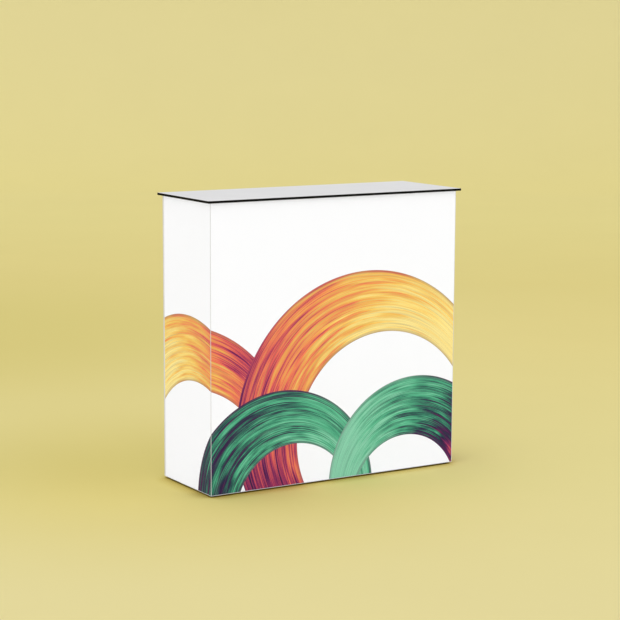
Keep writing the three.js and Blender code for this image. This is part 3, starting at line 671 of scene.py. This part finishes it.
bore = nut.modifiers.new("bore", "BOOLEAN")
bore.operation = "DIFFERENCE"
bore.object = drill
bpy.context.view_layer.objects.active = nut
bpy.ops.object.modifier_apply(modifier=bore.name)
bpy.ops.object.select_all(action="DESELECT")
bpy.data.objects.remove(drill)
nut.select_set(True)
soften(nut, barrel_edge_radius)
barrel.select_set(True)
bpy.context.view_layer.objects.active = barrel
bpy.ops.object.join()
set_on_door(barrel, "lock_barrel")
finish_piece(barrel, "turned_lock_barrel", nickel, "right_door")
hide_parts("lock_barrel")


# Screws. Plated steel with cross recesses. Low, nearly flush heads hold the hinges and the base
# panel, and domed ones the brackets, bearers, stop bar, bolt guide and knob. The zinc has a
# blotchy bloom of about 1.5 mm.
zinc = uneven_material(
    "zinc_plated_steel", ("#A9ACB0", "#C2C4C7"), {"Scale": 700.0, "Detail": 3.0},
    gloss=(0.28, 0.42), values={"Metallic": 1.0})
screw_turn = math.radians(37)  # each screw stops at an angle of its own


def screws(name, body, seats, radius, rise):
    """Screw heads, modelled once and set on seats, each a place and the way that the head faces."""
    bpy.ops.object.select_all(action="DESELECT")
    bpy.ops.mesh.primitive_cylinder_add(
        vertices=32, radius=radius, depth=rise, location=(0, 0, rise / 2))
    head = bpy.context.object
    bpy.ops.object.transform_apply(location=True, rotation=False, scale=False)
    edit(head)
    # The rim is rounded, and the cross recess fills the head's middle half, two thirds deep
    pick_edges(head, lambda e: all(v.co.z > rise * 0.9 for v in e.verts))
    bpy.ops.mesh.bevel(offset=min(rise * 0.8, radius * 0.5), segments=4, affect="EDGES")
    bpy.ops.object.mode_set(mode="OBJECT")
    for across in (0, math.pi / 2):
        bpy.ops.mesh.primitive_cube_add(size=1, location=(0, 0, rise), rotation=(0, 0, across))
        arm = bpy.context.object
        arm.scale = (radius * 1.1, radius * 0.24, rise * 1.4)
        recess = head.modifiers.new("recess", "BOOLEAN")
        recess.operation = "DIFFERENCE"
        recess.object = arm
        bpy.context.view_layer.objects.active = head
        bpy.ops.object.modifier_apply(modifier=recess.name)
        bpy.data.objects.remove(arm)
    bpy.ops.object.select_all(action="DESELECT")
    head.select_set(True)
    bpy.ops.object.shade_smooth_by_angle(angle=math.radians(30))
    copies = []
    for number, (place, facing) in enumerate(seats):
        one = head.copy()
        one.data = head.data.copy()
        one.data.transform(Matrix.Rotation(screw_turn * number, 4, "Z"))
        one.data.transform(Vector(facing).to_track_quat("Z", "Y").to_matrix().to_4x4())
        one.data.transform(Matrix.Translation(place))
        bpy.context.collection.objects.link(one)
        copies.append(one)
    bpy.data.objects.remove(head)
    bpy.ops.object.select_all(action="DESELECT")
    for one in copies:
        one.select_set(True)
    bpy.context.view_layer.objects.active = copies[0]
    if len(copies) > 1:
        bpy.ops.object.join()
    finish_piece(copies[0], name, zinc, body)


# The distances along and across a hinge to its screws, and half the gap between its two leaves
hinge_screw_rise, hinge_screw_row, half_leaf_gap = 0.017, 0.0061, 0.0003
for side, sign in (("left", -1), ("right", 1)):
    on_frame, on_door = [], []
    for level in hinge_levels:
        hinge = middle_of(f"hinge_{side}_{level}_door_leaf")
        row_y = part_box(f"hinge_{side}_{level}_door_leaf")[0].y + hinge_screw_row
        for rise in (-hinge_screw_rise, hinge_screw_rise):
            seat = Vector((hinge.x, row_y, hinge.z + rise))
            aside = Vector((sign * half_leaf_gap, 0, 0))
            on_frame.append((seat + aside, (-sign, 0, 0)))
            on_door.append((seat - aside, (sign, 0, 0)))
    for held_by, body, seats in (
            ("frame", "counter_body", on_frame), ("door", f"{side}_door", on_door)):
        screws(f"hinge_screws_{side}_{held_by}", body, seats, radius=0.0025, rise=0.00018)

# Each bracket has two screws up into the worktop and two into the rail, all in pairs
bracket_wall, half_pair, leg_share = 0.0030, 0.012, 0.6
into_worktop_and_rails = []
for end, sign in (("front", 1), ("rear", -1)):
    for side in sides:
        low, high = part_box(f"worktop_bracket_{end}_{side}")
        rail_face, free_end = (low.y, high.y) if sign == 1 else (high.y, low.y)
        screw_y = rail_face * (1 - leg_share) + free_end * leg_share
        screw_z = low.z * leg_share + high.z * (1 - leg_share)
        for beside in (-half_pair, half_pair):
            x = (low.x + high.x) / 2 + beside
            into_worktop_and_rails += [
                ((x, screw_y, high.z - bracket_wall), (0, 0, -1)),
                ((x, rail_face + sign * bracket_wall, screw_z), (0, sign, 0))]
screws("bracket_screws", "counter_body", into_worktop_and_rails, radius=0.0035, rise=0.0020)

bearer_wall, from_front, from_rear = 0.0020, 0.0090, 0.0045
shelf_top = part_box("shelf")[1].z
through_bearers = []
for side, sign in (("left", -1), ("right", 1)):
    low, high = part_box(f"shelf_bearer_{side}")
    inner_face = (high.x if side == "right" else low.x) - sign * bearer_wall
    for y in (low.y + from_front, high.y - from_rear):
        through_bearers.append(((inner_face, y, (shelf_top + high.z) / 2), (-sign, 0, 0)))
screws("bearer_screws", "counter_body", through_bearers, radius=0.0024, rise=0.0014)

low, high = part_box("door_stop_bar")
shares_of_half = (-0.9, -0.3, 0.3, 0.9)
screws("stop_bar_screws", "counter_body", [
    ((share * high.x, (low.y + high.y) / 2, low.z), (0, 0, -1)) for share in shares_of_half],
    radius=0.0022, rise=0.0012)

low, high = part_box("bolt_guide")
guide_plate, from_side, from_end = 0.0020, 0.0022, 0.0040
screws("bolt_guide_screws", "left_door", [
    ((x, high.y - guide_plate, z), (0, -1, 0))
    for x in (low.x + from_side, high.x - from_side)
    for z in (low.z + from_end, high.z - from_end)], radius=0.0016, rise=0.0010)

knob_middle, door_back = middle_of("door_knob"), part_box("door_right")[0].y
screws("knob_screw", "right_door", [
    ((knob_middle.x, door_back, knob_middle.z), (0, -1, 0))], radius=0.0042, rise=0.0022)

low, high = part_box("base_panel")
screw_columns, from_edge = (-0.4, 0, 0.4), 0.0062
screws("base_panel_screws", "counter_body", [
    ((x, y, high.z), (0, 0, 1))
    for x in screw_columns for y in (low.y + from_edge, high.y - from_edge)],
    radius=0.0035, rise=0.0005)


# Levelling feet. Black glass-filled nylon, moulded with a fine matt grain of about 0.8 mm, on a
# stem that screws into the corner connector above it.
nylon = uneven_material(
    "black_moulded_nylon", ("#161617", "#222224"), {"Scale": 1200.0, "Detail": 2.0},
    relief=(0.3, 0.0002), values={"Roughness": 0.6})
dress(nylon, *(f"foot_{end}_{side}" for end in ends for side in sides))


bpy.context.scene.view_settings.view_transform = "Standard"
